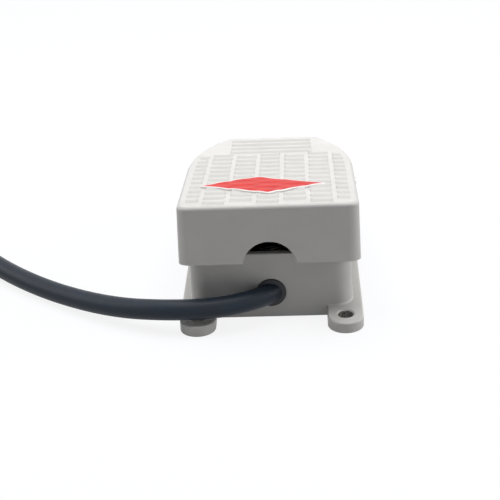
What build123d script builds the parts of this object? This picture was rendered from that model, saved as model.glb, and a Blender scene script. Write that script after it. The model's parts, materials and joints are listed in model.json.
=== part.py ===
from build123d import *
import math
import os

# Industrial foot switch: a hinged pedal cover with a woven relief over an open-topped base.
# X runs across, +Y from the toe (cable) end to the heel, Z up, origin under the middle.
os.makedirs("parts", exist_ok=True)

# Pedal cover
pedal_length = 134.0
pedal_half_width = 40.3
pedal_toe_height = 60.2
pedal_slope = math.radians(8.5)
pedal_skirt = 28.2
pedal_wall = 2.2
pedal_draft = math.radians(1.5)
pedal_toe_round = 4.5
pedal_heel_round = 6.0
pedal_edge_round = 1.6
heel_taper_start = 1.0
heel_taper_beyond = 14.0
arch_radius = 11.9
arch_height = 10.6
arch_bevel = 0.3
stiffener_x = 9.0
stiffener_thickness = 1.8
stiffener_height = 4.0

# Woven relief on the pedal
bar_length = 10.6
bar_width = 4.8
bar_height = 0.8
bar_pitch_x = 12.0
bar_pitch_y = 8.0
bar_columns = 3
bar_rows = 13
bar_first_from_toe = -1.7
relief_border = 3.6
relief_from_heel = 37.2
heel_rib_length = 42.0
heel_rib_width = 5.0
heel_rib_pitch = 8.3
heel_rib_from_heel = 33.4
heel_rib_count = 4

# Label on the pedal
label_half_length = 26.4
label_half_width = 14.9
label_thickness = 0.3
label_x = -3.7
label_from_toe = 37.0
label_turn = -1.4

# Base
base_inset_toe = 8.45
base_side_gap = 2.86
rim_over_skirt = 0.5
rim_bevel = 0.4
base_wall = 2.8
base_floor = 3.0
base_toe_round = 8.0
base_heel_round = 6.0
plate_thickness = 5.1
ear_radius = 8.2
ear_hole_radius = 3.5
ear_edge_round = 0.8
ear_hole_bevel = 0.6
ear_beyond_hole = 1.0
ear_inset = 3.69
foot_flare = 0.7

# Hinge
hinge_from_toe = 84.0
hinge_over_rim = 2.3
hinge_range = math.radians(6.0)
pin_radius = 2.0
pin_overhang = 2.2
running_fit = 0.05
lug_radius = 7.0
lug_thickness = 5.5
lug_set_in = 0.1
washer_thickness = 0.7
washer_radius = 4.8
hinge_pad_radius = 5.5

# Free gaps
seat_gap = 0.3
slip = 0.15
thread_gap = 0.05
root = 1.0

# Cable and its entry
cable_radius = 4.8
cable_z = 12.6
entry_radius = 6.8
entry_bevel = 0.3
grommet_flange = 8.6
grommet_flange_thickness = 2.0
grommet_lip = 0.8
core_radius = 1.3
clamp_from_wall = 12.15
clamp_width = 5.0
clamp_thickness = 1.2
clamp_reach = 10.2
clamp_foot = 2.9
clamp_boss_radius = 4.0
clamp_drop = 3.0
clamp_grip = 7.0

# Contact block
block_from_toe = 59.0
block_depth = 26.0
block_side_gap = 1.14
block_wall = 3.0
block_cover = 3.0
block_ear = 13.5
block_ear_thickness = 3.05
block_ear_half = 4.0
block_grip = 5.0
cover_screw_radius = 1.25
cover_head_radius = 2.4
cover_boss_radius = 3.0
cover_grip = 8.0
wing_reach = 7.5
strip_thickness = 1.0
strip_width = 6.0
button_radius = 1.8
button_thickness = 0.8
button_inset = 2.2
bridge_end_gap = 2.6
bridge_level = 0.5613
terminal_grip = 7.0
terminal_washer = 0.8
terminal_head_radius = 3.0
plunger_radius = 3.5
plunger_drop = 9.16
plunger_proud = 6.0
plunger_round = 1.0
carrier_half = 3.2
carrier_rise = 4.0
carrier_foot = 0.4

# Screws
screw_radius = 1.75
head_radius = 3.4
head_height = 2.2
slot_width = 0.9
slot_depth = 1.0
earth_screw_radius = 2.0
earth_head_radius = 3.6
earth_grip = 4.5

# Actuator under the pedal
actuator_radius = 2.5
actuator_nut_flats = 8.0
actuator_nut_height = 4.0
actuator_boss_radius = 5.5
actuator_below_nut = 1.6

# Springs and stops
spring_from_toe = 37.2
spring_mean_radius = 6.2
spring_wire = 0.7
spring_turns = 6
spring_bottom = 14.0
spring_drop = 9.4
spring_seat_rim = 1.0
spring_stub_gap = 0.6
spring_stub = 6.0
plunger_spring_mean_radius = 2.7
plunger_spring_wire = 0.35
plunger_spring_pitch = 1.9
stop_from_toe = 23.0
stop_radius = 4.5
stop_pad = 4.0
stop_post_margin = 0.5
stop_post_under_rim = 2.5
pad_round = 1.0
heel_stop_from_heel = 17.0
heel_stop_radius = 5.0
heel_stop_margin = 1.0
heel_boss_height = 1.3
heel_pad = 5.9

# Earth lug on its boss
earth_from_side = 10.44
earth_from_toe = 33.5
earth_boss_radius = 4.5
earth_boss_top = 8.0
lug_ring_radius = 4.0
lug_sheet = 0.8
lug_barrel_radius = 2.0
lug_barrel_start = 5.5
lug_barrel_end = 10.0

# Sizes worked out from the ones above
half_length = pedal_length / 2
heel_taper_length = half_length - heel_taper_start + heel_taper_beyond
base_half_width = pedal_half_width - base_side_gap
base_half_length = half_length - base_inset_toe
base_height = pedal_toe_height - pedal_skirt + rim_over_skirt
mount_spacing_x = 2 * (base_half_width - ear_inset)
mount_spacing_y = 2 * (base_half_length + ear_radius)
ear_reach = mount_spacing_y + 2 * ear_beyond_hole
wall_outer_y = -base_half_length
wall_inner_y = wall_outer_y + base_wall
hinge_y = -half_length + hinge_from_toe
hinge_z = base_height + hinge_over_rim
block_y = -half_length + block_from_toe
spring_y = -half_length + spring_from_toe
stop_y = -half_length + stop_from_toe
heel_stop_y = half_length - heel_stop_from_heel
label_y = -half_length + label_from_toe
bar_first_y = -half_length + bar_first_from_toe
heel_rib_first = half_length - heel_rib_from_heel
relief_heel = half_length - relief_from_heel
clamp_y = wall_outer_y + clamp_from_wall
clamp_seat = cable_z - clamp_drop
stop_x = base_half_width - base_wall - stop_radius - 2 * stop_post_margin
stop_post_top = base_height - stop_post_under_rim
earth_x = -base_half_width + earth_from_side
earth_y = -half_length + earth_from_toe
earth_barrel_z = earth_boss_top + lug_sheet / 2 + core_radius
block_half_x = base_half_width - base_wall - block_ear - block_side_gap
top_plane = Plane(
    origin=(0, 0, pedal_toe_height - half_length * math.tan(pedal_slope)),
    x_dir=(1, 0, 0),
    z_dir=(0, math.sin(pedal_slope), math.cos(pedal_slope)),
)
spring_seat_radius = spring_mean_radius + spring_wire + spring_seat_rim
spring_stub_radius = spring_mean_radius - spring_wire - spring_stub_gap
lug_end = (hinge_y + lug_radius - heel_taper_start) / (heel_taper_length - base_side_gap)
lug_face = base_half_width * math.sqrt(1 - lug_end ** 2) - lug_set_in
pad_face = lug_face + washer_thickness + 2 * slip
arm = hinge_y - block_y
plunger_travel = arm * math.sin(hinge_range)


def top_z(y):
    return pedal_toe_height - (y + half_length) * math.tan(pedal_slope)


def under_z(y):
    return top_z(y) - pedal_wall / math.cos(pedal_slope)


plunger_top = under_z(block_y) - plunger_drop
spring_top = under_z(spring_y) - spring_drop


def rod(radius, x, y, z0, z1):
    return Pos(x, y, (z0 + z1) / 2) * Cylinder(radius, z1 - z0)


def rod_x(radius, x0, x1, y, z):
    return Pos((x0 + x1) / 2, y, z) * Rot(0, 90, 0) * Cylinder(radius, x1 - x0)


def rod_y(radius, x, y0, y1, z):
    return Pos(x, (y0 + y1) / 2, z) * Rot(90, 0, 0) * Cylinder(radius, y1 - y0)


def cone_y(radius0, radius1, x, y0, y1, z):
    return Pos(x, (y0 + y1) / 2, z) * Rot(-90, 0, 0) * Cone(radius0, radius1, y1 - y0)


def block(x0, x1, y0, y1, z0, z1):
    return Pos((x0 + x1) / 2, (y0 + y1) / 2, (z0 + z1) / 2) * Box(x1 - x0, y1 - y0, z1 - z0)


def sides(make):
    return [make(-1), make(1)]


# Plan outline: straight sides, two quarter-ellipse shoulders and a straight heel
def outline(grow, half_width, toe_y, heel_y, toe_round, heel_round):
    width = half_width + grow
    depth = heel_taper_length + grow
    end_y = heel_y + grow
    end_angle = math.degrees(math.asin((end_y - heel_taper_start) / depth))
    end_x = width * math.cos(math.radians(end_angle))
    right = EllipticalCenterArc((0, heel_taper_start), width, depth, arc_size=end_angle)
    left = mirror(right, Plane.YZ)
    edge = (
        Line((-width, toe_y - grow), (width, toe_y - grow))
        + Line((width, toe_y - grow), (width, heel_taper_start))
        + right
        + Line((end_x, end_y), (-end_x, end_y))
        + left
        + Line((-width, heel_taper_start), (-width, toe_y - grow))
    )
    face = make_face(edge)
    toe = face.vertices().sort_by(Axis.Y)[:2]
    face = fillet(toe, toe_round + grow)
    heel = face.vertices().sort_by(Axis.Y)[-2:]
    return fillet(heel, heel_round + grow)


def pedal_outline(grow):
    return outline(grow, pedal_half_width, -half_length, half_length, pedal_toe_round, pedal_heel_round)


def base_outline(grow):
    return outline(
        grow, base_half_width, -base_half_length, base_half_length, base_toe_round, base_heel_round
    )


# Drafted block between the pedal's outline at its toe height and the wider one below it
def pedal_block(grow):
    low = pedal_toe_height - pedal_skirt - half_length
    wide = (pedal_toe_height - low) * math.tan(pedal_draft)
    upper = Plane.XY.offset(pedal_toe_height) * pedal_outline(grow)
    lower = Plane.XY.offset(low) * pedal_outline(grow + wide)
    return loft([lower, upper], ruled=True)


def on_top(x, y, lift=0.0):
    return top_plane * Pos(x, y / math.cos(pedal_slope), lift)


# Pillow-shaped bar of the relief: a slice of a cylinder with sloping ends
def relief_bar(length, width):
    radius = (width * width / 4 + bar_height * bar_height) / (2 * bar_height)
    slice_of = Pos(0, 0, bar_height - radius) * Rot(0, 90, 0) * Cylinder(radius, length)
    ends = extrude(Rectangle(length, 3 * width), amount=2 * bar_height, taper=45)
    return slice_of & (Pos(0, 0, -bar_height / 4) * ends)


def woven_relief():
    bar = relief_bar(bar_length, bar_width)
    bars = []
    for column in range(-bar_columns, bar_columns + 1):
        shift = bar_pitch_y / 2 if column % 2 else 0.0
        for row in range(bar_rows):
            y = bar_first_y + row * bar_pitch_y + shift
            inside = y - bar_width / 2 > -half_length + relief_border
            if inside and y + bar_width / 2 < relief_heel:
                bars.append(on_top(column * bar_pitch_x, y) * bar)
    field = Part() + bars
    return field & extrude(pedal_outline(-relief_border), amount=2 * pedal_toe_height)


def heel_ribs():
    rib = relief_bar(heel_rib_length, heel_rib_width)
    return [on_top(0, heel_rib_first + i * heel_rib_pitch) * rib for i in range(heel_rib_count)]


# Sloping slab under the pedal's top face, between two depths
def sloping_slab(near, far):
    size = 3 * pedal_length
    slab = Box(size, size, far - near, align=(Align.CENTER, Align.CENTER, Align.MAX))
    return top_plane * Pos(0, 0, -near) * slab


def pedal_shell():
    depth = pedal_skirt * math.cos(pedal_slope)
    outer = pedal_block(0) & sloping_slab(0, depth)
    outer = fillet(outer.faces().sort_by(Axis.Z)[-1].edges(), pedal_edge_round)
    return outer - (pedal_block(-pedal_wall) & sloping_slab(pedal_wall, 3 * depth))


# Arch over the cable with a bevelled outer edge
def arch_cut():
    z = pedal_toe_height - pedal_skirt + arch_height - arch_radius
    lean = (pedal_toe_height - z) * math.tan(pedal_draft)
    face_y = -half_length - lean + arch_radius * math.tan(pedal_draft)
    cut = rod_y(arch_radius, 0, -half_length - 2 * lean - root, -half_length + pedal_wall + root, z)
    wide = arch_radius + 2 * arch_bevel
    return cut + cone_y(wide, arch_radius, 0, face_y - arch_bevel, face_y + arch_bevel, z)


def stiffeners():
    low = sloping_slab(pedal_wall / 2, pedal_wall + stiffener_height)
    near, far = stiffener_x - stiffener_thickness / 2, stiffener_x + stiffener_thickness / 2
    inside = extrude(pedal_outline(-pedal_wall / 2), amount=2 * pedal_toe_height)
    made = []
    for side in (-1, 1):
        bar = block(*sorted((side * near, side * far)), -half_length, half_length, 0, pedal_toe_height)
        made.append(bar & low & inside)
    return made


def pedal_cover():
    cover = pedal_shell() - arch_cut()
    fittings = stiffeners()
    for side in (-1, 1):
        reach = sorted((side * pad_face, side * pedal_half_width))
        fittings.append(rod_x(hinge_pad_radius, *reach, hinge_y, hinge_z))
        fittings.append(hanging_boss(side * stop_x, stop_y, stop_radius, toe_stop_face()))
    fittings.append(hanging_boss(0, block_y, actuator_boss_radius, actuator_face()))
    fittings.append(hanging_boss(0, spring_y, spring_seat_radius, spring_top))
    fittings.append(rod(spring_stub_radius, 0, spring_y, spring_top - spring_stub, spring_top + root))
    fittings.append(hanging_boss(0, heel_stop_y, heel_stop_radius + heel_stop_margin, heel_stop_face()))
    cover += fittings
    cover -= rod_x(pin_radius + running_fit, -2 * pedal_half_width, 2 * pedal_half_width, hinge_y, hinge_z)
    cover -= rod(actuator_radius, 0, block_y, actuator_face() - root, under_z(block_y) - slip)
    return cover + woven_relief() + heel_ribs()


# Boss hanging from the sloping underside down to a level face
def hanging_boss(x, y, radius, face_z):
    return rod(radius, x, y, face_z, top_z(y) - pedal_wall / 2 - radius * math.tan(pedal_slope))


def toe_stop_face():
    reach = hinge_y - stop_y + stop_radius
    pad_top = stop_post_top + stop_pad + seat_gap - hinge_z
    return hinge_z + (pad_top + reach * math.sin(hinge_range)) / math.cos(hinge_range)


def heel_stop_face():
    return under_z(heel_stop_y) - heel_boss_height


def actuator_face():
    return plunger_top + seat_gap + actuator_below_nut + actuator_nut_height


def label():
    points = [
        (-label_half_length, 0), (0, -label_half_width), (label_half_length, 0), (0, label_half_width),
    ]
    shape = Rot(0, 0, label_turn) * make_face(Polyline(*points, close=True))
    return on_top(label_x, label_y, bar_height + running_fit) * extrude(shape, amount=label_thickness)


def ear_strip(side):
    shape = Rot(0, 0, 90) * SlotCenterToCenter(ear_reach, 2 * ear_radius)
    strip = extrude(shape, amount=plate_thickness)
    strip = fillet(strip.faces().sort_by(Axis.Z)[-1].edges(), ear_edge_round)
    return Pos(side * mount_spacing_x / 2, 0, 0) * strip


def ear_places():
    return [(x * mount_spacing_x / 2, y * mount_spacing_y / 2) for x in (-1, 1) for y in (-1, 1)]


# Sloping foot of the wall where it meets the ears
def wall_foot():
    low = Plane.XY.offset(plate_thickness) * base_outline(foot_flare)
    high = Plane.XY.offset(plate_thickness + foot_flare) * base_outline(0)
    strip = extrude(Rot(0, 0, 90) * SlotCenterToCenter(ear_reach, 2 * ear_radius), amount=base_height)
    strips = sides(lambda side: Pos(side * mount_spacing_x / 2, 0, 0) * strip)
    return loft([low, high], ruled=True) & (Part() + strips)


def base_shell():
    outer = extrude(base_outline(0), amount=base_height)
    outer = chamfer(outer.faces().sort_by(Axis.Z)[-1].edges(), rim_bevel)
    inner = Pos(0, 0, base_floor) * extrude(base_outline(-base_wall), amount=base_height)
    plate = block(
        -mount_spacing_x / 2, mount_spacing_x / 2, -base_half_length + base_toe_round,
        base_half_length, 0, plate_thickness,
    )
    return outer + plate + sides(ear_strip) + wall_foot() - inner


def base_lug(side):
    near, far = sorted((side * (lug_face - lug_thickness), side * lug_face))
    stem = block(near, far, hinge_y - lug_radius, hinge_y + lug_radius, base_floor, hinge_z)
    return rod_x(lug_radius, near, far, hinge_y, hinge_z) + stem


def floor_boss(radius, x, y, top):
    return rod(radius, x, y, base_floor - root, top)


def cable_cradle():
    half = cable_radius - slip
    near, far = clamp_y - clamp_width / 2, clamp_y + clamp_width / 2
    middle = clamp_middle()
    cradle = block(middle - half, middle + half, near, far, base_floor - root, cable_z - 2 * head_height)
    return cradle - cable_solid(slip)


def base_bosses():
    made = [cable_cradle()]
    for side in (-1, 1):
        made.append(base_lug(side))
        made.append(floor_boss(stop_radius + stop_post_margin, side * stop_x, stop_y, stop_post_top))
        made.append(floor_boss(clamp_boss_radius, clamp_middle() + side * clamp_reach, clamp_y, clamp_seat))
        made.append(floor_boss(block_ear_half, side * mounting_x(), block_y, base_floor + slip))
    made.append(floor_boss(heel_stop_radius + heel_stop_margin, 0, heel_stop_y, heel_post_top()))
    made.append(floor_boss(spring_seat_radius, 0, spring_y, spring_bottom))
    made.append(rod(spring_stub_radius, 0, spring_y, spring_bottom - root, spring_bottom + spring_stub))
    made.append(floor_boss(earth_boss_radius, earth_x, earth_y, earth_boss_top))
    return made


def base_housing():
    body = base_shell() + base_bosses()
    for side in (-1, 1):
        recess = sorted((side * lug_face, side * 2 * pedal_half_width))
        body -= rod_x(hinge_pad_radius + 2 * seat_gap, *recess, hinge_y, hinge_z)
        body -= screw_hole(clamp_middle() + side * clamp_reach, clamp_y, clamp_seat, clamp_grip)
        body -= screw_hole(side * mounting_x(), block_y, base_floor + slip, block_grip - block_ear_thickness)
    body -= screw_hole(earth_x, earth_y, earth_boss_top, earth_grip, radius=earth_screw_radius)
    body -= rod_x(pin_radius, -2 * pedal_half_width, 2 * pedal_half_width, hinge_y, hinge_z)
    body -= rod_y(entry_radius, 0, wall_outer_y - root, wall_inner_y + root, cable_z)
    wide = entry_radius + 2 * entry_bevel
    body -= cone_y(wide, entry_radius, 0, wall_outer_y - entry_bevel, wall_outer_y + entry_bevel, cable_z)
    wide = ear_hole_radius + 2 * ear_hole_bevel
    for x, y in ear_places():
        body -= rod(ear_hole_radius, x, y, -root, plate_thickness + root)
        body -= Pos(x, y, plate_thickness) * Cone(ear_hole_radius, wide, 2 * ear_hole_bevel)
    return body


def screw_hole(x, y, face_z, depth, radius=screw_radius):
    return rod(radius + thread_gap, x, y, face_z - depth - 2 * thread_gap, face_z + 1)


# Route of the cable's middle line from the clamp, out of the entry and to the coil:
# each point is given across, out from the wall's face towards the heel, and up
cable_steps = [
    (3.4, 15.55, cable_z),
    (3.4, 6.15, cable_z),
    (-1.2, -2.05, cable_z),
    (-11.4, -8.85, cable_z - 0.1),
    (-26.5, -13.65, cable_z - 0.3),
    (-47.5, -12.45, cable_z - 1.2),
    (-72.5, -1.65, 7.6),
    (-100.5, 17.05, 4.9),
    (-126.5, 37.55, 4.9),
    (-147.5, 60.55, 4.9),
    (-170.5, 80.05, 4.9),
    (-195.5, 94.55, 4.9),
    (-222.0, 89.55, 4.9),
]
cable_route = [(x, wall_outer_y + out, z) for x, out, z in cable_steps]
coil_x = -223.9
coil_from_wall = 29.55
coil_y = wall_outer_y + coil_from_wall
coil_outer = 65.0
coil_inner = 31.0
coil_edge_round = 3.0


def clamp_middle():
    return cable_route[0][0]


# Radius of the arc at each corner: 0.45 of its shorter run over the tangent of half its turn
def arc_radii(points):
    found = []
    for before, at, after in zip(points, points[1:], points[2:]):
        first = Vector(*at) - Vector(*before)
        second = Vector(*after) - Vector(*at)
        half_turn = math.radians(first.get_angle(second)) / 2
        found.append(0.45 * min(first.length, second.length) / math.tan(half_turn))
    return found


def tube(points, radius):
    path = FilletPolyline(*points, radius=arc_radii(points))
    start = Plane(origin=path @ 0, z_dir=path % 0)
    return sweep(start * Circle(radius), path=path)


def cable_solid(extra=0.0):
    return tube(cable_route, cable_radius + extra)


def coil():
    height = 2 * cable_route[-1][2]
    ring = rod(coil_outer, coil_x, coil_y, 0, height) - rod(coil_inner, coil_x, coil_y, -1, height + 1)
    return fillet(ring.edges().filter_by(GeomType.CIRCLE), coil_edge_round)


def grommet():
    body = rod_y(entry_radius - running_fit, 0, wall_outer_y - grommet_lip, wall_inner_y, cable_z)
    body += rod_y(grommet_flange, 0, wall_inner_y, wall_inner_y + grommet_flange_thickness, cable_z)
    return body - cable_solid()


def clamp_strap():
    x = clamp_middle()
    near, far = clamp_y - clamp_width / 2, clamp_y + clamp_width / 2
    legs = cable_radius + clamp_thickness
    bore = cable_radius + running_fit
    ends = clamp_reach + clamp_foot
    strap = rod_y(legs, x, near, far, cable_z) + block(x - legs, x + legs, near, far, clamp_seat, cable_z)
    strap += block(x - ends, x + ends, near, far, clamp_seat, clamp_seat + clamp_thickness)
    strap -= rod_y(bore, x, near - root, far + root, cable_z)
    strap -= block(x - bore, x + bore, near - root, far + root, 0, cable_z)
    strap -= block(x - ends, x + ends, near - root, far + root, 0, clamp_seat)
    for side in (-1, 1):
        strap -= rod(screw_radius + slip, x + side * clamp_reach, clamp_y, 0, cable_z)
    return strap


# Slotted pan-head screw standing on a face at seat_z
def screw(x, y, seat_z, depth, radius=screw_radius, head=head_radius):
    body = rod(radius, x, y, seat_z - depth, seat_z) + rod(head, x, y, seat_z, seat_z + head_height)
    slot = block(
        x - head, x + head, y - slot_width / 2, y + slot_width / 2,
        seat_z + head_height - slot_depth, seat_z + head_height + root,
    )
    return body - slot


def clamp_screws():
    seat = clamp_seat + clamp_thickness
    depth = clamp_thickness + clamp_grip
    return Compound(
        children=sides(lambda side: screw(clamp_middle() + side * clamp_reach, clamp_y, seat, depth))
    )


# Levels inside the contact block
block_toe = block_y - block_depth / 2
block_heel = block_y + block_depth / 2
block_bottom = base_floor + slip
block_top = plunger_top - plunger_proud
block_ear_top = block_bottom + block_ear_thickness
chamber_x = block_half_x - block_wall
chamber_floor = base_floor + block_wall
bridge_half_length = chamber_x - bridge_end_gap
bridge_z = base_floor + bridge_level * (block_top - base_floor)
bridge_top = bridge_z + strip_thickness
upper_strip = bridge_top + 2 * button_thickness + seat_gap
lower_strip = bridge_z - 2 * button_thickness - plunger_travel - seat_gap - strip_thickness
carrier_low = lower_strip - carrier_foot
carrier_high = bridge_top + carrier_rise
terminal_radius = screw_radius - thread_gap


def button_place():
    return bridge_half_length - button_inset


# Where a terminal strip lies along the block: nearer the toe if low, nearer the heel if high
def strip_span(upper):
    if upper:
        return block_heel - block_wall - strip_width, block_heel - block_wall
    return block_toe + block_wall, block_toe + block_wall + strip_width


def strip_level(upper):
    return upper_strip if upper else lower_strip


def level_strip(side, upper):
    z, (near, far) = strip_level(upper), strip_span(upper)
    top = z + strip_thickness
    mid = strip_width / 2
    turn_x = chamber_x - 4.0
    shape = block(button_place() - button_radius - slip, chamber_x, block_y - mid, block_y + mid, z, top)
    shape += block(turn_x, chamber_x, min(near, block_y - mid), max(far, block_y + mid), z, top)
    shape += block(turn_x, block_half_x + wing_reach - running_fit, near, far, z, top)
    return mirror(shape, Plane.YZ) if side < 0 else shape


def terminal_place(side, upper):
    near, far = strip_span(upper)
    return side * (block_half_x + wing_reach / 2), (near + far) / 2


def fixed_contact(side, upper):
    z = strip_level(upper)
    low = z - button_thickness if upper else z + strip_thickness
    strip = level_strip(side, upper)
    strip += rod(button_radius, side * button_place(), block_y, low, low + button_thickness)
    return strip - rod(screw_radius + slip, *terminal_place(side, upper), 0, block_top)


def mounting_x():
    return block_half_x + (wing_reach + block_ear) / 2


def cover_screw_places():
    x = chamber_x - block_wall + seat_gap
    z = base_floor + block_wall + cover_head_radius
    return [(-x, z), (x, z)]


# Wing that carries the terminals, and the foot that is screwed to the base
def case_side(side):
    near, far = sorted((side * block_half_x, side * (block_half_x + wing_reach)))
    middle = (strip_span(False)[1] + strip_span(True)[0]) / 2
    wing = block(near, far, block_toe, middle, block_bottom, lower_strip)
    wing += block(near, far, middle, block_heel, block_bottom, upper_strip)
    near, far = sorted((side * block_half_x, side * (block_half_x + block_ear)))
    foot = block(near, far, block_y - block_ear_half, block_y + block_ear_half, block_bottom, block_ear_top)
    return wing + foot


def contact_case():
    body = block(-block_half_x, block_half_x, block_toe, block_heel, block_bottom, block_top)
    body += sides(case_side)
    ceiling = block_top - block_wall
    body -= block(-chamber_x, chamber_x, block_toe + block_wall, block_heel + root, chamber_floor, ceiling)
    for x, z in cover_screw_places():
        body += rod_y(cover_boss_radius, x, block_heel - cover_grip - root, block_heel, z)
        body -= rod_y(cover_screw_radius + thread_gap, x, block_heel - cover_grip, block_heel + root, z)
    body -= rod(plunger_radius + slip, 0, block_y, block_top - block_wall - root, block_top + root)
    for side in (-1, 1):
        for upper in (False, True):
            body -= level_strip(side, upper)
            body -= rod(screw_radius, *terminal_place(side, upper), lower_strip - terminal_grip, block_top)
        body -= rod(screw_radius + slip, side * mounting_x(), block_y, 0, block_ear_top + root)
    return body


def contact_cover():
    plate = block(-block_half_x, block_half_x, block_heel, block_heel + block_cover, block_bottom, block_top)
    plate = fillet(plate.edges().filter_by(Axis.Y), pad_round)
    for x, z in cover_screw_places():
        hole = rod_y(cover_screw_radius + slip, x, block_heel - root, block_heel + block_cover + root, z)
        plate -= hole
    return plate


def contact_cover_screws():
    depth = block_cover + cover_grip - root
    turned = Rot(-90, 0, 0) * screw(0, 0, 0, depth, radius=cover_screw_radius, head=cover_head_radius)
    heads_y = block_heel + block_cover
    return Compound(children=[Pos(x, heads_y, z) * turned for x, z in cover_screw_places()])


def terminal_screw(side, upper):
    x, y = terminal_place(side, upper)
    seat = strip_level(upper) + strip_thickness
    top = seat + terminal_washer
    washer = rod(head_radius, x, y, seat, top) - rod(screw_radius, x, y, seat - root, top + root)
    return screw(x, y, top, terminal_grip, radius=terminal_radius, head=terminal_head_radius) + washer


def terminal_screws():
    return Compound(children=[terminal_screw(side, upper) for side in (-1, 1) for upper in (False, True)])


def block_screws():
    def foot_screw(side):
        return screw(side * mounting_x(), block_y, block_ear_top, block_grip, head=terminal_head_radius)

    return Compound(children=sides(foot_screw))


def plunger():
    stem = rod(plunger_radius, 0, block_y, carrier_high - root, plunger_top)
    stem = fillet(stem.edges().sort_by(Axis.Z)[-1], plunger_round)
    half = carrier_half
    carrier = block(-half, half, block_y - half, block_y + half, carrier_low, carrier_high)
    mid = strip_width / 2
    return stem + carrier - block(-2 * half, 2 * half, block_y - mid, block_y + mid, bridge_z, bridge_top)


def contact_bridge():
    mid = strip_width / 2
    bar = block(-bridge_half_length, bridge_half_length, block_y - mid, block_y + mid, bridge_z, bridge_top)
    low, high = bridge_z - button_thickness, bridge_top + button_thickness
    for side in (-1, 1):
        bar += rod(button_radius, side * button_place(), block_y, low, high)
    return bar


# Round-wire compression spring between two level seats
def coil_spring(y, low, high, mean_radius, wire, turns):
    height = high - low - 2 * wire
    path = Helix(pitch=height / turns, height=height, radius=mean_radius, center=(0, y, low + wire))
    start = Plane(origin=path @ 0, z_dir=path % 0)
    return sweep(start * Circle(wire), path=path, is_frenet=True)


def return_spring():
    return coil_spring(
        spring_y, spring_bottom + slip, spring_top - slip, spring_mean_radius, spring_wire, spring_turns
    )


def plunger_spring():
    low, high = chamber_floor + slip, carrier_low - slip
    turns = max(1, round((high - low) / plunger_spring_pitch))
    return coil_spring(block_y, low, high, plunger_spring_mean_radius, plunger_spring_wire, turns)


def actuator_screw():
    tip = plunger_top + seat_gap
    shaft = rod(actuator_radius, 0, block_y, tip + actuator_radius, under_z(block_y) - 2 * seat_gap)
    ball = Pos(0, block_y, tip + actuator_radius) * Sphere(actuator_radius)
    return shaft + ball


def actuator_nut():
    shape = Pos(0, block_y, 0) * RegularPolygon(actuator_nut_flats / 2, 6, major_radius=False)
    face = actuator_face()
    nut = Pos(0, 0, face - actuator_nut_height) * extrude(shape, amount=actuator_nut_height)
    return nut - rod(actuator_radius, 0, block_y, plunger_top, face + root)


def hinge_pin():
    end = pedal_half_width + pin_overhang + (top_z(hinge_y) - hinge_z) * math.tan(pedal_draft)
    pin = rod_x(pin_radius, -end, end, hinge_y, hinge_z)
    return chamfer(pin.edges().filter_by(GeomType.CIRCLE), 0.5)


def hinge_washers():
    made = []
    for side in (-1, 1):
        near, far = sorted((side * (lug_face + slip), side * (lug_face + slip + washer_thickness)))
        disc = rod_x(washer_radius, near, far, hinge_y, hinge_z)
        made.append(disc - rod_x(pin_radius + running_fit, near - 1, far + 1, hinge_y, hinge_z))
    return Compound(children=made)


# Rubber pad with a rounded rim on top of its post
def rubber_pad(radius, x, y, low, high):
    shape = rod(radius, x, y, low, high)
    return fillet(shape.edges().sort_by(Axis.Z)[-1], pad_round)


def toe_stops():
    top = stop_post_top + stop_pad
    return Compound(
        children=sides(lambda side: rubber_pad(stop_radius, side * stop_x, stop_y, stop_post_top, top))
    )


def heel_post_top():
    return heel_stop_face() - seat_gap - heel_pad


def heel_stop():
    return rubber_pad(heel_stop_radius, 0, heel_stop_y, heel_post_top(), heel_stop_face() - seat_gap)


def earth_lug():
    top = earth_boss_top + lug_sheet
    half = lug_ring_radius / 2 - slip
    ring = rod(lug_ring_radius, earth_x, earth_y, earth_boss_top, top)
    near, far = earth_x + lug_barrel_start, earth_x + lug_barrel_end
    ring += block(earth_x, near + root, earth_y - half, earth_y + half, earth_boss_top, top)
    ring += rod_x(lug_barrel_radius, near, far, earth_y, earth_barrel_z)
    ring -= rod_x(core_radius + slip, near + root, far + root, earth_y, earth_barrel_z)
    return ring - rod(earth_screw_radius + slip, earth_x, earth_y, 0, earth_barrel_z)


def earth_screw():
    seat = earth_boss_top + lug_sheet
    return screw(
        earth_x, earth_y, seat, lug_sheet + earth_grip, radius=earth_screw_radius, head=earth_head_radius
    )


# Cores from the jacket's end: two to the lower terminals and one to the earth lug
def core(side):
    start_x, start_y, _ = cable_route[0]
    x, y = terminal_place(side, False)
    level = lower_strip + strip_thickness + core_radius + slip
    out_x = start_x + side * 2.0
    out_z = cable_z + 1.0
    if side < 0:
        bend = [(out_x - 3.2, start_y + 4.4, out_z), (out_x - 8.8, start_y + 4.0, out_z + 0.6)]
    else:
        bend = [(out_x + 2.6, start_y + 5.0, out_z + 0.4)]
    points = [
        (out_x, start_y + slip, out_z),
        (out_x, start_y + 2.2, out_z),
        *bend,
        (side * 13.6, start_y + 10.5, level - 0.8),
        (x - side * 2.4, y - 10.5, level),
        (x, y - head_radius - 0.5, level),
    ]
    return tube(points, core_radius)


def earth_core():
    start_x, start_y, _ = cable_route[0]
    out_z = cable_z - 2.6
    points = [
        (start_x, start_y + slip, out_z),
        (start_x, start_y + 2.0, out_z),
        (start_x - 3.0, start_y + 3.4, out_z - 0.2),
        (earth_x + 20.8, earth_y - 6.1, earth_barrel_z),
        (earth_x + 14.8, earth_y - 4.0, earth_barrel_z),
        (earth_x + lug_barrel_end + 1.4, earth_y, earth_barrel_z),
        (earth_x + lug_barrel_start + 1.3, earth_y, earth_barrel_z),
    ]
    return tube(points, core_radius)


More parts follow.
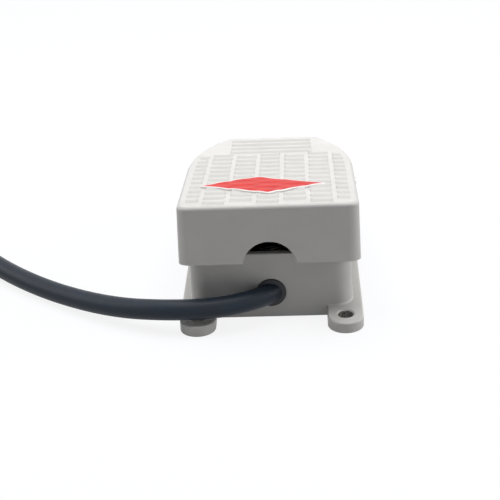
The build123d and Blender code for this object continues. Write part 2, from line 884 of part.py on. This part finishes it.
# Stripped cores at the cable's far end: they leave the coil's inner side and spread on the floor
def end_core(place):
    def at(radius, angle, z):
        turned = math.radians(angle)
        return (coil_x + radius * math.cos(turned), coil_y + radius * math.sin(turned), z)

    across = 2.3 * (place - 1)
    start_z = 2 * core_radius + (4.0 if place == 1 else 1.0)
    floor_z = core_radius + slip
    return tube([
        at(coil_inner + 2.0 + across, 272, start_z),
        at(coil_inner - 2.5 + across, 294, start_z),
        at(coil_inner - 7.0 + across, 314, start_z),
        at(coil_inner - 13.0 + 2.2 * across, 338, floor_z),
        at(coil_inner - 19.0 + 3.0 * across, 370, floor_z),
    ], core_radius)


def end_cores():
    return Compound(children=[end_core(place) - coil() for place in range(3)])


# Write one file for each node
def write(name, shape):
    export_step(shape, f"parts/{name}.step")


write("pedal_cover", pedal_cover())
write("pedal_label", label())
write("base_housing", base_housing())
write("hinge_pin", hinge_pin())
write("hinge_washers", hinge_washers())
write("return_spring", return_spring())
write("toe_stop_pads", toe_stops())
write("heel_stop_pad", heel_stop())
write("actuator_screw", actuator_screw())
write("actuator_locknut", actuator_nut())
write("contact_case", contact_case())
write("contact_case_cover", contact_cover())
write("contact_cover_screws", contact_cover_screws())
write("contact_mounting_screws", block_screws())
write("contact_plunger", plunger())
write("plunger_spring", plunger_spring())
write("contact_bridge", contact_bridge())
for side_name, side_sign in (("left", -1), ("right", 1)):
    write(f"{side_name}_break_contact", fixed_contact(side_sign, True))
    write(f"{side_name}_make_contact", fixed_contact(side_sign, False))
write("terminal_screws", terminal_screws())
write("cable_grommet", grommet())
write("cable_clamp", clamp_strap())
write("cable_clamp_screws", clamp_screws())
write("live_core", core(-1))
write("switched_core", core(1))
write("earth_core", earth_core())
write("earth_lug", earth_lug())
write("earth_screw", earth_screw())
write("supply_cable", cable_solid() - coil())
write("cable_coil", coil())
write("cable_end_cores", end_cores())
print("cable bend radii", [round(r, 1) for r in arc_radii(cable_route)])
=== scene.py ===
import json
import math

import bpy
import numpy as np
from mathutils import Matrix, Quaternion, Vector


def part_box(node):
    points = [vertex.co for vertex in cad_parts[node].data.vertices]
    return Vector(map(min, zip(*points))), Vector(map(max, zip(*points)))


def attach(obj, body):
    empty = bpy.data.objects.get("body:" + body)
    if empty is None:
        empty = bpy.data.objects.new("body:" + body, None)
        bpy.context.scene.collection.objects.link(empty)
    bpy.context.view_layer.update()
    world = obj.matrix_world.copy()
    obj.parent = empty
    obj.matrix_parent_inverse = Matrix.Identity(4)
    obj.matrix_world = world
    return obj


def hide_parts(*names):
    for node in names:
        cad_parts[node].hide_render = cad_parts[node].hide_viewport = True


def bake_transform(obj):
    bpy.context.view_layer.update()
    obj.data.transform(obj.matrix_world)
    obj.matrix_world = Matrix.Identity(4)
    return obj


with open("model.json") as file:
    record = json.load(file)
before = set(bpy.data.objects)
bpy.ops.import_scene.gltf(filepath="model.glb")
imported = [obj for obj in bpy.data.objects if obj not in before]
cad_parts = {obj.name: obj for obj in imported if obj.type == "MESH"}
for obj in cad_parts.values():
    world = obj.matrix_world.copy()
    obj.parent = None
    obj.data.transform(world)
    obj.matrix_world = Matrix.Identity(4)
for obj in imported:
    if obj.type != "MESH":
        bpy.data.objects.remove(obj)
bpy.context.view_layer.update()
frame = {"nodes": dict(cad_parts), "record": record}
nodes = frame["nodes"]
print("frame loaded:", len(nodes), "nodes")


# the photograph's camera, fitted to the object's corners; lens and sensor in millimetres
camera = dict(
    eye=(0.01474, -0.56563, 0.28408), aim=(-0.00842, -0.06700, 0.03875), roll=-2.76,
    lens=90.05, sensor=36.0, clipStart=0.01,
)


def makeCamera():
    data = bpy.data.cameras.new("photoCamera")
    data.lens = camera["lens"]
    data.sensor_width = camera["sensor"]
    data.clip_start = camera["clipStart"]
    item = bpy.data.objects.new("photoCamera", data)
    bpy.context.collection.objects.link(item)
    eye = Vector(camera["eye"])
    turn = (Vector(camera["aim"]) - eye).to_track_quat("-Z", "Y")
    item.rotation_mode = "QUATERNION"
    item.rotation_quaternion = turn @ Quaternion((0, 0, 1), math.radians(camera["roll"]))
    item.location = eye
    bpy.context.scene.camera = item


makeCamera()
print("camera made")


def toLinear(hexColour):
    # sRGB hex to linear: the low end is a straight line, the rest a 2.4 power
    parts = np.array([int(hexColour[i:i + 2], 16) for i in (1, 3, 5)]) / 255
    linear = np.where(parts <= 0.04045, parts / 12.92, ((parts + 0.055) / 1.055) ** 2.4)
    return (*(float(c) for c in linear), 1.0)


def addNode(tree, kind, inputs=None, **settings):
    node = tree.nodes.new(kind)
    for name, value in settings.items():
        setattr(node, name, value)
    for name, value in (inputs or {}).items():
        if isinstance(value, bpy.types.NodeSocket):
            tree.links.new(value, node.inputs[name])
        else:
            node.inputs[name].default_value = value
    return node


def twoColours(tree, pattern, band, colours):
    # the first colour passes to the second where the pattern goes through the band
    share = addNode(tree, "ShaderNodeMapRange", {
        "Value": pattern, "From Min": band[0], "From Max": band[1],
    })
    mix = addNode(tree, "ShaderNodeMix", {
        0: share.outputs["Result"], 6: toLinear(colours[0]), 7: toLinear(colours[1]),
    }, data_type="RGBA")
    return mix.outputs[2]


# what a layer of noise is unless it says otherwise; a band is the part of its values that is spread out
plainNoise = dict(detail=3.0, fineness=0.55, stretch=None, colourBand=(0.35, 0.65), roughnessBand=(0.3, 0.7))


def newMaterial(name, shader, *layers):
    # each layer is noise in the object's own coordinates, its features "size" millimetres across, and gives
    # two colours, a least and a most roughness, bumps of a depth in millimetres, or more than one of these
    material = bpy.data.materials.new(name)
    material.use_nodes = True
    tree = material.node_tree
    surface = tree.nodes["Principled BSDF"]
    for key, value in shader.items():
        surface.inputs[key].default_value = value
    place = addNode(tree, "ShaderNodeTexCoord").outputs["Object"]
    for layer in layers:
        look = {**plainNoise, **layer}
        where = place
        if look["stretch"]:
            where = addNode(tree, "ShaderNodeMapping", {
                "Vector": place, "Scale": look["stretch"],
            }).outputs["Vector"]
        noise = addNode(tree, "ShaderNodeTexNoise", {
            "Vector": where, "Scale": 1000 / look["size"], "Detail": look["detail"],
            "Roughness": look["fineness"],
        }).outputs["Fac"]
        if "colours" in look:
            tree.links.new(twoColours(tree, noise, look["colourBand"], look["colours"]),
                           surface.inputs["Base Color"])
        if "roughness" in look:
            spread = addNode(tree, "ShaderNodeMapRange", {
                "Value": noise, "From Min": look["roughnessBand"][0], "From Max": look["roughnessBand"][1],
                "To Min": look["roughness"][0], "To Max": look["roughness"][1],
            })
            tree.links.new(spread.outputs["Result"], surface.inputs["Roughness"])
        if "depth" in look:
            bump = addNode(tree, "ShaderNodeBump", {
                "Height": noise, "Distance": look["depth"] / 1000, "Strength": 1.0,
            })
            tree.links.new(bump.outputs["Normal"], surface.inputs["Normal"])
    return material


def paintOver(material, share, colour):
    # another colour over the material's own, as far as share says
    tree = material.node_tree
    base = tree.nodes["Principled BSDF"].inputs["Base Color"]
    under = base.links[0].from_socket
    mix = addNode(tree, "ShaderNodeMix", {0: share, 6: under, 7: colour}, data_type="RGBA")
    tree.links.new(mix.outputs[2], base)


# enamel sprayed and stoved over die-cast aluminium: satin, with a soft orange peel; the walls of the ears'
# holes carry painted shade, dark grey and speckled
enamel = dict(
    roughness=0.46, coat=0.05, coatRoughness=0.25, ior=1.5,
    cloud=dict(size=14.0, colours=("#c5c3bf", "#c1bfbb")),
    satin=dict(size=3.0, roughness=(0.41, 0.53)),
    peel=dict(size=1.1, detail=1.5, depth=0.012),
    # painted shade for the walls of the ear holes: two dark greys in a fine speckle
    holeShade=dict(size=1.2, band=(0.4, 0.6), colours=("#4c4a45", "#96928a")),
    ear=(0.03375, 0.06675), holeRadius=0.0035, holeMargin=0.00002, holeSoft=0.00006, earTop=0.0051,
)


def nearEarHole(tree, place):
    # 1 on the walls of the four ear holes, 0 elsewhere: near a hole's axis in plan and below the ears' tops
    apart = addNode(tree, "ShaderNodeSeparateXYZ", {"Vector": place})
    across = addNode(tree, "ShaderNodeMath", {0: apart.outputs["X"]}, operation="ABSOLUTE")
    along = addNode(tree, "ShaderNodeMath", {0: apart.outputs["Y"]}, operation="ABSOLUTE")
    plan = addNode(tree, "ShaderNodeCombineXYZ", {"X": across.outputs[0], "Y": along.outputs[0]})
    reach = addNode(tree, "ShaderNodeVectorMath", {0: plan.outputs[0], 1: (*enamel["ear"], 0.0)},
                    operation="DISTANCE")
    wide = enamel["holeRadius"] + enamel["holeMargin"]
    near = addNode(tree, "ShaderNodeMapRange", {
        "Value": reach.outputs["Value"], "From Min": wide, "From Max": wide + enamel["holeSoft"],
        "To Min": 1.0, "To Max": 0.0,
    })
    low = addNode(tree, "ShaderNodeMath", {0: apart.outputs["Z"], 1: enamel["earTop"]}, operation="LESS_THAN")
    both = {0: near.outputs["Result"], 1: low.outputs[0]}
    return addNode(tree, "ShaderNodeMath", both, operation="MULTIPLY").outputs[0]


def enamelledDieCasting():
    material = newMaterial("enamelled die-cast aluminium", {
        "Roughness": enamel["roughness"], "Coat Weight": enamel["coat"],
        "Coat Roughness": enamel["coatRoughness"], "IOR": enamel["ior"],
    }, enamel["cloud"], enamel["satin"], enamel["peel"])
    tree = material.node_tree
    place = tree.nodes["Texture Coordinate"].outputs["Object"]
    holeShade = enamel["holeShade"]
    noise = addNode(tree, "ShaderNodeTexNoise", {
        "Vector": place, "Scale": 1000 / holeShade["size"], "Detail": plainNoise["detail"],
        "Roughness": plainNoise["fineness"],
    })
    holeShadeColour = twoColours(tree, noise.outputs["Fac"], holeShade["band"], holeShade["colours"])
    # painted shade, dark and speckled, goes over the enamel on the walls of the ear holes
    paintOver(material, nearEarHole(tree, place), holeShadeColour)
    return material


# matt-laminated vinyl film: an even red field inside a thin unprinted edge, pressed down over the relief
film = dict(
    roughness=0.50, ior=1.5, gloss=0.12, edge="#fffaf8", margin=0.972, marginSoft=0.01,
    cloud=dict(size=5.0, colourBand=(0.3, 0.7), colours=("#cf2018", "#bf1b14")),
    ripple=dict(size=1.6, depth=0.010),
    centre=(-0.0029, -0.0337), tip=(0.0289, -0.0002), apex=(-0.0031, 0.0141), steps=(140, 84),
    thickness=0.00020, lift=0.00002, stiffness=12, grip=1.3, sag=0.00016, droop=0.00016, droopFrom=0.80,
    rimFrom=0.999, flare=1.055,
)


def printedVinyl():
    material = newMaterial("printed vinyl film", {
        "Roughness": film["roughness"], "IOR": film["ior"], "Specular IOR Level": film["gloss"],
    }, film["cloud"], film["ripple"])
    tree = material.node_tree
    # the film's own map runs from -1 to 1 along each diagonal, so |u| + |v| is 1 on its edge
    own = addNode(tree, "ShaderNodeUVMap", uv_map="diagonals").outputs["UV"]
    apart = addNode(tree, "ShaderNodeSeparateXYZ", {"Vector": own})
    sizes = [addNode(tree, "ShaderNodeMath", {0: apart.outputs[i]}, operation="ABSOLUTE") for i in (0, 1)]
    out = addNode(tree, "ShaderNodeMath", {0: sizes[0].outputs[0], 1: sizes[1].outputs[0]}, operation="ADD")
    onEdge = addNode(tree, "ShaderNodeMapRange", {
        "Value": out.outputs[0], "From Min": film["margin"], "From Max": film["margin"] + film["marginSoft"],
    })
    paintOver(material, onEdge.outputs["Result"], toLinear(film["edge"]))
    return material


# metals: faint clouds, with the tool's lines in the gloss and as bumps four microns deep; the lines are long
# on the axes where their run is small
metalLook = dict(cloudSize=4.0, gloss=(0.8, 1.25), lines=dict(detail=4.0, depth=0.004))
lineRuns = dict(drawn=(0.15, 1.0, 1.0), rolled=(0.1, 1.0, 1.0), ground=(1.0, 0.1, 0.1), cut=(1.0, 0.2, 0.2))


def metal(name, colours, roughness, size, run):
    lines = dict(metalLook["lines"], size=size, stretch=lineRuns[run],
                 roughness=[roughness * share for share in metalLook["gloss"]])
    cloud = dict(size=metalLook["cloudSize"], colours=colours)
    return newMaterial(name, {"Metallic": 1.0, "Roughness": roughness}, cloud, lines)


# plastics and rubber: faint clouds, with the mould's fine grain in the gloss and as bumps
mouldedLook = dict(cloudSize=6.0, gloss=(0.88, 1.12))


def moulded(name, colours, roughness, size, depth, ior=1.5):
    grain = dict(size=size, depth=depth, roughness=[roughness * share for share in mouldedLook["gloss"]])
    cloud = dict(size=mouldedLook["cloudSize"], colours=colours)
    return newMaterial(name, {"Roughness": roughness, "IOR": ior}, cloud, grain)


# soft extruded PVC: black with a faint blue, shallow waves and a waxy sheen
jacket = dict(
    roughness=0.50, gloss=0.32, cloud=dict(size=9.0, colours=("#06131f", "#0a1a29")),
    wax=dict(size=0.9, roughness=(0.46, 0.58)), wave=dict(size=2.2, depth=0.02),
)


def jacketPvc():
    return newMaterial("extruded black PVC", {
        "Roughness": jacket["roughness"], "Specular IOR Level": jacket["gloss"],
    }, jacket["cloud"], jacket["wax"], jacket["wave"])


# extruded PVC of the earth core: green and yellow in slanting stripes, with a slight sheen
earthCover = dict(
    roughness=0.42, ior=1.53, colours=("#3f7d1f", "#d8c51c"), scale=60.0, distortion=0.6, band=(0.45, 0.55),
    grain=dict(size=0.7, depth=0.01),
)


def stripedPvc():
    material = newMaterial("extruded green and yellow PVC", {
        "Roughness": earthCover["roughness"], "IOR": earthCover["ior"],
    }, earthCover["grain"])
    tree = material.node_tree
    wave = addNode(tree, "ShaderNodeTexWave", {
        "Vector": tree.nodes["Texture Coordinate"].outputs["Object"], "Scale": earthCover["scale"],
        "Distortion": earthCover["distortion"],
    }, bands_direction="DIAGONAL")
    stripes = twoColours(tree, wave.outputs["Fac"], earthCover["band"], earthCover["colours"])
    tree.links.new(stripes, tree.nodes["Principled BSDF"].inputs["Base Color"])
    return material


finishes = {
    "painted_die_casting": enamelledDieCasting(),
    "printed_film": printedVinyl(),
    # ground on its axis: bright, with fine rings
    "bright_steel": metal("ground steel", ("#b9b9b7", "#b9b9b7"), 0.28, 0.25, "ground"),
    # milky white, with a soft sheen
    "nylon": moulded("moulded nylon", ("#d9d5c8", "#cfcabb"), 0.45, 0.8, 0.01),
    # drawn through a die: grey, with faint lines
    "spring_steel": metal("drawn spring steel", ("#8e9093", "#8e9093"), 0.32, 0.4, "drawn"),
    # near black and dull
    "black_rubber": moulded("moulded black rubber", ("#17181a", "#202124"), 0.68, 0.6, 0.02, ior=1.52),
    # bright, with a cold cast from the plating
    "zinc_plated_steel": metal("zinc-plated steel", ("#c3c7c9", "#b4bcc4"), 0.30, 0.5, "drawn"),
    # dark brown, smooth from a polished mould
    "phenolic": moulded("moulded phenolic", ("#2b1c15", "#352218"), 0.38, 0.7, 0.008),
    # cream and slightly waxy
    "cream_acetal": moulded("moulded acetal", ("#d6cfba", "#cbc3ab"), 0.36, 0.9, 0.006),
    # warm yellow, with the rolls' lines along the strip
    "brass": metal("rolled brass", ("#c9a55c", "#bf9850"), 0.27, 0.3, "rolled"),
    # extruded over the wire: even in colour, with a slight sheen
    "brown_pvc": moulded("extruded brown PVC", ("#5a3522", "#62402b"), 0.42, 0.7, 0.01, ior=1.53),
    "blue_pvc": moulded("extruded blue PVC", ("#2f5fae", "#2a56a0"), 0.42, 0.7, 0.01, ior=1.53),
    "green_pvc": stripedPvc(),
    # silvery and softly bright
    "tinned_copper": metal("tinned copper", ("#c9c9c4", "#c9c9c4"), 0.34, 0.5, "drawn"),
    "black_pvc": jacketPvc(),
}
# orange brown, bright where it is freshly cut
strandCopper = metal("bare copper strand", ("#c47a4f", "#b96c42"), 0.26, 0.3, "cut")
for part in frame["record"]["subparts"]:
    node = nodes[part["node"]]
    node.data.materials.clear()
    node.data.materials.append(finishes[part["material_slot"]])
print("materials made:", len(finishes) + 1)


def meshObject(name, points, faces, material, smooth=True):
    mesh = bpy.data.meshes.new(name)
    mesh.from_pydata(points.reshape(-1, 3).tolist(), [], faces)
    mesh.polygons.foreach_set("use_smooth", [smooth] * len(mesh.polygons))
    mesh.materials.append(material)
    mesh.update()
    item = bpy.data.objects.new(name, mesh)
    bpy.context.collection.objects.link(item)
    return item


def gridFaces(rows, columns, wrap=False):
    # four corners of each cell of a rows by columns grid of points, closed round the columns if wrap is set
    r, c = np.meshgrid(np.arange(rows - 1), np.arange(columns if wrap else columns - 1), indexing="ij")
    nextC = (c + 1) % columns
    cells = [r * columns + c, r * columns + nextC, (r + 1) * columns + nextC, (r + 1) * columns + c]
    return np.stack(cells, axis=-1).reshape(-1, 4)


# supply cable: the route of the CAD tube and then a flat coil on the floor, outside the view
cable = dict(
    radius=0.0048,
    length=1.0,
    route=[
        (0.0034, -0.0430, 0.0126),
        (0.0034, -0.0524, 0.0126),
        (-0.0012, -0.0606, 0.0126),
        (-0.0114, -0.0674, 0.0125),
        (-0.0265, -0.0722, 0.0123),
        (-0.0475, -0.0710, 0.0114),
        (-0.0725, -0.0602, 0.0076),
        (-0.1005, -0.0415, 0.0049),
        (-0.1265, -0.0210, 0.0049),
        (-0.1475, 0.0020, 0.0049),
        (-0.1705, 0.0215, 0.0049),
        (-0.1955, 0.0345, 0.0049),
    ],
    coilCentre=(-0.2239, -0.0290), coilStart=0.0602, coilPitch=0.0120, coilTurns=2.617,
    diveTurns=0.28, diveDepth=0.0048, startAngle=92.0, perTurn=16, roundness=7,
)


def coilPoints():
    # spiral whose radius falls by one pitch each turn, with a square dive inward at its end; a smooth line
    # runs inside its control points by (6 + 2 cos step) / 8, so they stand out by the inverse of that
    count = math.ceil(cable["coilTurns"] * cable["perTurn"]) + 1
    turns = np.linspace(0, cable["coilTurns"], count)
    step = 2 * math.pi * turns[1]
    dive = np.clip((turns - cable["coilTurns"]) / cable["diveTurns"] + 1, 0, 1) ** 2
    radii = cable["coilStart"] - cable["coilPitch"] * turns - cable["diveDepth"] * dive
    radii = radii / ((6 + 2 * math.cos(step)) / 8)
    angles = 2 * math.pi * turns + math.radians(cable["startAngle"])
    x = cable["coilCentre"][0] + radii * np.cos(angles)
    y = cable["coilCentre"][1] + radii * np.sin(angles)
    return np.stack([x, y, np.full_like(x, cable["route"][-1][2])], axis=1)


def splineCurve(name, lines, radius, material, roundness):
    curve = bpy.data.curves.new(name, "CURVE")
    curve.dimensions = "3D"
    curve.bevel_depth = radius
    curve.bevel_resolution = roundness
    curve.resolution_u = 10  # steps from one point to the next
    curve.use_fill_caps = True
    for points in lines:
        spline = curve.splines.new("NURBS")
        spline.points.add(len(points) - 1)
        spline.points.foreach_set("co", np.c_[points, np.ones(len(points))].ravel())
        spline.order_u = 3  # quadratic
        spline.use_endpoint_u = True
    curve.materials.append(material)
    item = bpy.data.objects.new(name, curve)
    bpy.context.collection.objects.link(item)
    return item


cablePoints = np.vstack([np.array(cable["route"]), coilPoints()])
cableCurve = splineCurve("cableJacket", [cablePoints], cable["radius"], finishes["black_pvc"],
                         cable["roundness"])
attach(cableCurve, "base")
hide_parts("supply_cable", "cable_coil")

# cores at the stripped end, three colours of insulation with bare strands showing at their tips; each step of
# a core gives its reach and angle from the coil's centre and how far the cores fan out there
cores = dict(
    radius=0.0013, strand=0.0008, tip=0.0060, overlap=0.001, spacing=0.0023, floor=0.00145,
    middleRise=0.0040, sideRise=0.0010,
    steps=((0.0285, 294, 1.0), (0.0240, 314, 1.0), (0.0180, 338, 2.2), (0.0120, 370, 3.0)),
    slots=("brown_pvc", "blue_pvc", "green_pvc"), roundness=4, strandRoundness=3,
)


def corePoints(place):
    # polar steps turned to x and y: two high beside the jacket's end, then two down on the floor
    across = cores["spacing"] * (place - 1)
    start = 2 * cores["radius"] + (cores["middleRise"] if place == 1 else cores["sideRise"])
    reach, angle, fan = np.array(cores["steps"]).T
    radii = reach + fan * across
    turned = np.radians(angle)
    x = cable["coilCentre"][0] + radii * np.cos(turned)
    y = cable["coilCentre"][1] + radii * np.sin(turned)
    return np.stack([x, y, [start, start, cores["floor"], cores["floor"]]], axis=1)


coreLines = [corePoints(place) for place in range(3)]
tipLines = []
for line in coreLines:
    ahead = (line[-1] - line[-2]) / np.linalg.norm(line[-1] - line[-2])
    tipLines.append(np.stack([line[-1] - cores["overlap"] * ahead, line[-1] + cores["tip"] * ahead]))
endPieces = [
    splineCurve(f"endCore{place}", [line], cores["radius"], finishes[cores["slots"][place]],
                cores["roundness"])
    for place, line in enumerate(coreLines)
]
endPieces.append(splineCurve("endStrands", tipLines, cores["strand"], strandCopper, cores["strandRoundness"]))
for piece, slotName in zip(endPieces, (*cores["slots"], "tinned_copper")):
    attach(piece, "base")
    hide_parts("cable_end_cores")
print("cable made:", len(cablePoints), "points")


# springs with a dead coil at each end, from the bottom to the top of their CAD part's box
returnCoil = dict(name="returnSpring", node="return_spring", mover="pedal", y=-0.0298, mean=0.0062,
                  wire=0.0007, turns=8)
plungerCoil = dict(name="plungerSpring", node="plunger_spring", mover="plunger", y=-0.0080, mean=0.0027,
                   wire=0.00035, turns=6)
coilMesh = dict(sides=14, perTurn=44)


def springMesh(coil):
    lowest, highest = (corner[2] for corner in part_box(coil["node"]))
    wire, turns, sides = coil["wire"], coil["turns"], coilMesh["sides"]
    rise = highest - lowest - 2 * wire
    # helix that climbs the wire's thickness in each dead turn and evenly over the turns between
    at = np.linspace(0, turns, turns * coilMesh["perTurn"] + 1)
    height = np.interp(at, (0, 1, turns - 1, turns), (0, 2 * wire, rise - 2 * wire, rise))
    turned = 2 * math.pi * at
    outward = np.stack([np.cos(turned), np.sin(turned), np.zeros_like(turned)], axis=1)
    axis = np.stack([np.zeros_like(at), np.full_like(at, coil["y"]), lowest + wire + height], axis=1)
    line = coil["mean"] * outward + axis
    ahead = np.gradient(line, axis=0)
    ahead /= np.linalg.norm(ahead, axis=1, keepdims=True)
    upward = np.cross(outward, ahead)
    # round wire: a ring of points about each point of the line
    ring = -2 * math.pi * np.arange(sides) / sides
    points = line[:, None] + wire * (np.cos(ring)[None, :, None] * outward[:, None]
                                     + np.sin(ring)[None, :, None] * upward[:, None])
    last = (len(at) - 1) * sides
    caps = [list(range(sides))[::-1], list(range(last, last + sides))]
    faces = gridFaces(len(at), sides, wrap=True).tolist() + caps
    spring = meshObject(coil["name"], points, faces, finishes["spring_steel"])
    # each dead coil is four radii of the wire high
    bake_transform(spring)
    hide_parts(coil["node"])


springMesh(returnCoil)
springMesh(plungerCoil)
print("springs made")


# woven relief under the film: bars a pitch apart, every other column half a row along
relief = dict(
    pitchX=0.012, pitchY=0.008, firstY=-0.0047, halfLength=0.0053, halfWidth=0.0024, height=0.0008,
    endSteepness=6, slope=8.5, toeHeight=0.0602, halfPedal=0.067,
)


def reliefHeight(x, y):
    # 0 to 1: a parabola across each bar, straight along it, dying out at its ends
    column = np.round(x / relief["pitchX"])
    shift = np.where(column % 2 == 1, relief["pitchY"] / 2, 0.0)
    along = np.abs(x - column * relief["pitchX"]) / relief["halfLength"]
    off = (y - relief["firstY"] - shift) / relief["pitchY"]
    across = np.abs(off - np.round(off)) * relief["pitchY"] / relief["halfWidth"]
    return np.clip(1 - across ** 2, 0, 1) * np.clip((1.0 - along) * relief["endSteepness"], 0, 1)


def filmSurfaces():
    # a square grid carried to the diamond: u + v and u - v run along its sides, u to a tip and v to an apex,
    # both given in the plane of the pedal's top
    across, down = (np.linspace(-1, 1, n) for n in film["steps"])
    a, b = np.meshgrid(across, down, indexing="ij")
    u, v = (a + b) / 2, (a - b) / 2
    out = np.abs(u) + np.abs(v)
    slope = math.radians(relief["slope"])
    x = film["centre"][0] + u * film["tip"][0] + v * film["apex"][0]
    y = film["centre"][1] + (u * film["tip"][1] + v * film["apex"][1]) * math.cos(slope)
    plane = relief["toeHeight"] - (y + relief["halfPedal"]) * math.tan(slope)
    # passes of a box blur, because a stiff film bridges the gaps between the bars; it droops most at its edge
    rest = reliefHeight(x, y)
    for _ in range(film["stiffness"]):
        rest = (rest + np.roll(rest, 1, 0) + np.roll(rest, -1, 0)
                + np.roll(rest, 1, 1) + np.roll(rest, -1, 1)) / 5
    toEdge = np.clip((out - film["droopFrom"]) / (1 - film["droopFrom"]), 0, 1) ** 2
    drop = (film["sag"] + film["droop"] * toEdge) * (1 - np.clip(rest * film["grip"], 0, 1))
    lift = relief["height"] + film["lift"] - drop
    top = np.stack([x, y, plane + (lift + film["thickness"]) / math.cos(slope)], axis=-1)
    low = top - np.array([0, 0, film["thickness"]])
    # its rim is rubbed down, a little way out, onto the bars and the ground between them
    outX = film["centre"][0] + film["flare"] * (x - film["centre"][0])
    outY = film["centre"][1] + film["flare"] * (y - film["centre"][1])
    rise = (relief["height"] * reliefHeight(outX, outY) + film["lift"]) / math.cos(slope)
    ground = plane - (outY - y) * math.tan(slope) + rise
    rubbed = np.stack([outX, outY, np.minimum(low[..., 2], ground)], axis=-1)
    low = np.where((out > film["rimFrom"])[..., None], rubbed, low)
    return top, low, np.stack([u, v], axis=-1)


def filmSheet():
    # top and underside on the same grid, the underside's faces turned over, and a rim of one face for each
    # step round the edge
    top, low, diagonals = filmSurfaces()
    rows, columns = film["steps"]
    count = rows * columns
    upper = gridFaces(rows, columns)
    edge = np.concatenate([
        np.arange(columns), np.arange(1, rows) * columns + columns - 1,
        (rows - 1) * columns + np.arange(columns - 2, -1, -1), np.arange(rows - 2, 0, -1) * columns,
    ])
    after = np.roll(edge, -1)
    rim = np.stack([edge, edge + count, after + count, after], axis=1)
    faces = np.vstack([upper, upper[:, ::-1] + count, rim]).tolist()
    points = np.concatenate([top.reshape(-1, 3), low.reshape(-1, 3)])
    sheet = meshObject("labelFilm", points, faces, finishes["printed_film"])
    uv = np.tile(diagonals.reshape(-1, 2), (2, 1))
    layer = sheet.data.uv_layers.new(name="diagonals")
    corner = np.empty(len(sheet.data.loops), dtype=np.int32)
    sheet.data.loops.foreach_get("vertex_index", corner)
    layer.data.foreach_set("uv", uv[corner].ravel())
    return sheet


labelFilm = filmSheet()
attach(labelFilm, "pedal")
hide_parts("pedal_label")
print("label film made")


# pale sweep under soft light from overhead, with weaker lamps on each side, low behind and in front; a lamp
# has its name, its place, its watts and its width in metres
studio = dict(
    floorSize=8.0, floor="#999999", seenFloor="#eff2fc", shine=0.86, sky=0.18, skyColour="#e9edf8",
    floorRoughness=0.9, tooth=dict(size=0.6, depth=0.01), lampAim=(0, 0, 0.03),
    lamps=(
        ("overheadLamp", (0.00, 0.12, 1.15), 13.0, 1.0),
        ("backLamp", (-0.04, 1.60, 0.24), 2.1, 0.6),
        ("rightLamp", (0.95, 0.03, 0.40), 4.6, 0.6),
        ("leftLamp", (-0.95, 0.10, 0.50), 3.0, 0.6),
        ("frontLamp", (0.20, -1.10, 0.12), 0.9, 0.8),
    ),
)


def areaLamp(name, at, power, size):
    data = bpy.data.lights.new(name, "AREA")
    data.energy = power
    data.size = size
    item = bpy.data.objects.new(name, data)
    item.location = at
    item.rotation_mode = "QUATERNION"
    item.rotation_quaternion = (Vector(studio["lampAim"]) - Vector(at)).to_track_quat("-Z", "Y")
    bpy.context.collection.objects.link(item)


def backdropRay(tree):
    # 1 for a ray from the camera, off a glossy surface or through glass, which all see the pale background
    rays = addNode(tree, "ShaderNodeLightPath").outputs
    shiny = addNode(tree, "ShaderNodeMath", {0: rays["Is Camera Ray"], 1: rays["Is Glossy Ray"]},
                    operation="MAXIMUM")
    return addNode(tree, "ShaderNodeMath", {0: shiny.outputs[0], 1: rays["Is Transmission Ray"]},
                   operation="MAXIMUM").outputs[0]


def mattPaper():
    # uncoated white paper with a fine tooth; as a background it is paler, and part of its light is even, so
    # that only soft shadows are left on it
    material = newMaterial("matt white paper", {"Roughness": studio["floorRoughness"]}, studio["tooth"])
    tree = material.node_tree
    surface = tree.nodes["Principled BSDF"]
    direct = backdropRay(tree)
    seen = addNode(tree, "ShaderNodeMix", {
        0: direct, 6: toLinear(studio["floor"]), 7: toLinear(studio["seenFloor"]),
    }, data_type="RGBA")
    tree.links.new(seen.outputs[2], surface.inputs["Base Color"])
    shine = addNode(tree, "ShaderNodeMath", {0: direct, 1: studio["shine"]}, operation="MULTIPLY")
    glow = addNode(tree, "ShaderNodeEmission", {"Strength": 1.0})
    both = addNode(tree, "ShaderNodeMixShader", {
        0: shine.outputs[0], 1: surface.outputs[0], 2: glow.outputs[0],
    })
    tree.links.new(both.outputs[0], tree.nodes["Material Output"].inputs["Surface"])
    return material


def makeSky():
    # dim and slightly blue as light, plain white as a background
    world = bpy.data.worlds.new("studioWorld")
    bpy.context.scene.world = world
    world.use_nodes = True
    tree = world.node_tree
    dim = tree.nodes["Background"]
    dim.inputs["Color"].default_value = toLinear(studio["skyColour"])
    dim.inputs["Strength"].default_value = studio["sky"]
    white = addNode(tree, "ShaderNodeBackground", {"Color": (1, 1, 1, 1), "Strength": 1.0})
    pick = addNode(tree, "ShaderNodeMixShader", {
        0: backdropRay(tree), 1: dim.outputs[0], 2: white.outputs[0],
    })
    tree.links.new(pick.outputs[0], tree.nodes["World Output"].inputs["Surface"])


def makeStudio():
    half = studio["floorSize"] / 2
    corners = np.array([(-half, -half, 0), (half, -half, 0), (half, half, 0), (-half, half, 0)])
    floor = meshObject("studioFloor", corners, [[0, 1, 2, 3]], mattPaper(), smooth=False)
    makeSky()
    for lamp in studio["lamps"]:
        areaLamp(*lamp)
    bpy.context.scene.view_settings.view_transform = "Standard"


makeStudio()
print("studio made")
